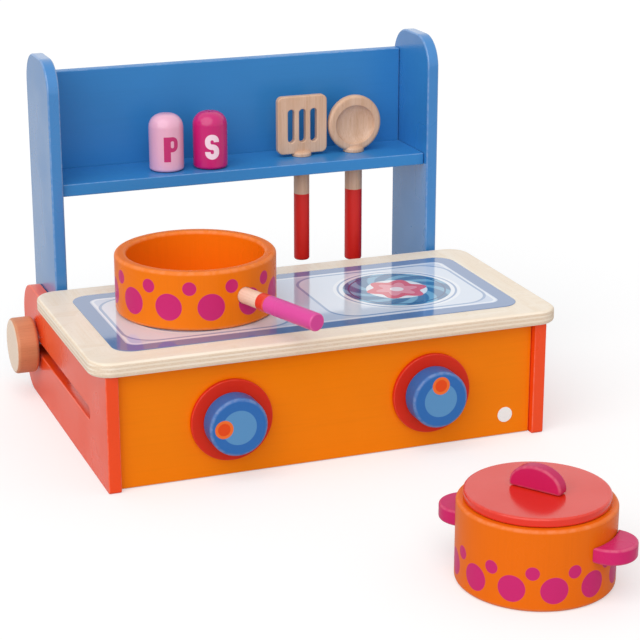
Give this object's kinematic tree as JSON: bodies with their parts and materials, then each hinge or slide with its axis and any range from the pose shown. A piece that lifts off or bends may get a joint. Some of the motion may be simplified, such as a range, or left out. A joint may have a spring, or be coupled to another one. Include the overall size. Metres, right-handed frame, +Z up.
{
  "type": "toy oven",
  "caption": "Wooden tabletop play cooker: hob on a low box with turning knobs, a folding shelf rack, and a lift-off pan, lidded pot, utensils and shakers.",
  "frame": {"origin": "middle of the part's bounding box, on the surface that the box, the rack's base and the pot stand on", "axes": "+X to the right of someone facing the knobs, +Y from the knobs towards the rack, +Z up"},
  "size_m": [0.4006, 0.5738, 0.2885],
  "materials": {
    "side_red": "satin red-orange paint",
    "front_orange": "satin orange paint",
    "rack_blue": "satin blue paint",
    "knob_blue": "satin blue paint",
    "birch_plywood": "clear satin lacquer",
    "natural_beech": "clear satin lacquer",
    "dowel_wood": "plain, glued in",
    "utensil_wood": "clear satin lacquer, handles dipped in red paint",
    "pan_orange": "satin orange paint with printed dots",
    "collar_red": "satin red paint",
    "lid_red": "gloss red paint",
    "handle_pink": "satin pink paint",
    "handle_magenta": "satin magenta paint",
    "shaker_pale_pink": "satin pale pink paint with a printed letter",
    "shaker_magenta": "satin magenta paint with a printed letter",
    "hob_print": "glossy printed film",
    "badge_white": "plain white",
    "steel": "zinc plated",
    "brass": "turned"
  },
  "bodies": {
    "box": {"side_panel_left": "side_red", "side_panel_right": "side_red", "front_panel": "front_orange", "hob_top": "birch_plywood", "hob_print": "hob_print", "front_badge": "badge_white", "front_dowel_left_lower": "dowel_wood", "front_dowel_left_upper": "dowel_wood", "front_dowel_right_lower": "dowel_wood", "front_dowel_right_upper": "dowel_wood", "top_dowel_left_front": "dowel_wood", "top_dowel_left_rear": "dowel_wood", "top_dowel_right_front": "dowel_wood", "top_dowel_right_rear": "dowel_wood", "knob_plate_left": "side_red", "knob_plate_right": "side_red"},
    "left_front_knob": {"knob_left": "knob_blue", "knob_shaft_left": "steel", "knob_nut_left": "steel"},
    "right_front_knob": {"knob_right": "knob_blue", "knob_shaft_right": "steel", "knob_nut_right": "steel"},
    "clamp_washers": {"clamp_washer_left": "steel", "clamp_washer_right": "steel"},
    "rack": {"post_left": "rack_blue", "post_right": "rack_blue", "shelf": "rack_blue", "back_panel": "rack_blue", "shelf_dowel_front_left": "dowel_wood", "shelf_dowel_front_right": "dowel_wood", "shelf_dowel_rear_left": "dowel_wood", "shelf_dowel_rear_right": "dowel_wood", "back_dowel_lower_left": "dowel_wood", "back_dowel_lower_right": "dowel_wood", "back_dowel_upper_left": "dowel_wood", "back_dowel_upper_right": "dowel_wood", "threaded_insert_left": "brass", "threaded_insert_right": "brass"},
    "left_thumb_screw": {"thumb_knob_left": "natural_beech", "clamp_bolt_left": "steel"},
    "right_thumb_screw": {"thumb_knob_right": "natural_beech", "clamp_bolt_right": "steel"},
    "pan": {"saucepan": "pan_orange", "saucepan_peg": "natural_beech", "saucepan_collar": "collar_red", "saucepan_handle": "handle_pink"},
    "cooking_pot": {"pot": "pan_orange", "pot_handle_left": "handle_magenta", "pot_handle_right": "handle_magenta", "pot_handle_dowel_left": "dowel_wood", "pot_handle_dowel_right": "dowel_wood"},
    "lid": {"pot_lid": "lid_red", "lid_handle": "handle_magenta", "lid_screw": "steel"},
    "spatula": {"spatula": "utensil_wood"},
    "spoon": {"spoon": "utensil_wood"},
    "pepper": {"pepper_shaker": "shaker_pale_pink"},
    "salt": {"salt_shaker": "shaker_magenta"}
  },
  "joints": [
    {"name": "left_knob_turn", "type": "hinge", "parent": "box", "child": "left_front_knob", "pos_m": [-0.0823, 0.012, 0.0456], "axis": [0, 1, 0], "continuous": true},
    {"name": "right_knob_turn", "type": "hinge", "parent": "box", "child": "right_front_knob", "pos_m": [0.0823, 0.012, 0.0456], "axis": [0, 1, 0], "continuous": true},
    {"name": "rack_slide", "type": "slide", "parent": "box", "child": "clamp_washers", "axis": [0, 1, 0], "range_m": [-0.005, 0]},
    {"name": "rack_fold", "type": "hinge", "parent": "clamp_washers", "child": "rack", "pos_m": [0, 0.24588, 0.046], "axis": [-1, 0, 0], "range_deg": [0, 90]},
    {"name": "left_thumb_turn", "type": "hinge", "parent": "rack", "child": "left_thumb_screw", "pos_m": [-0.19, 0.24588, 0.046], "axis": [1, 0, 0], "continuous": true},
    {"name": "right_thumb_turn", "type": "hinge", "parent": "rack", "child": "right_thumb_screw", "pos_m": [0.19, 0.24588, 0.046], "axis": [1, 0, 0], "continuous": true},
    {"name": "pan_lift", "type": "slide", "parent": "box", "child": "pan", "axis": [0, 0, 1], "range_m": [0, 0.08]},
    {"name": "pot_lift", "type": "slide", "parent": "box", "child": "cooking_pot", "axis": [0, 0, 1], "range_m": [0, 0.07]},
    {"name": "lid_lift", "type": "slide", "parent": "cooking_pot", "child": "lid", "axis": [0, 0, 1], "range_m": [0, 0.05]},
    {"name": "spatula_lift", "type": "slide", "parent": "rack", "child": "spatula", "axis": [0, 0, 1], "range_m": [0, 0.11]},
    {"name": "spoon_lift", "type": "slide", "parent": "rack", "child": "spoon", "axis": [0, 0, 1], "range_m": [0, 0.11]},
    {"name": "pepper_lift", "type": "slide", "parent": "rack", "child": "pepper", "axis": [0, 0, 1], "range_m": [0, 0.105]},
    {"name": "salt_lift", "type": "slide", "parent": "rack", "child": "salt", "axis": [0, 0, 1], "range_m": [0, 0.105]}
  ]
}
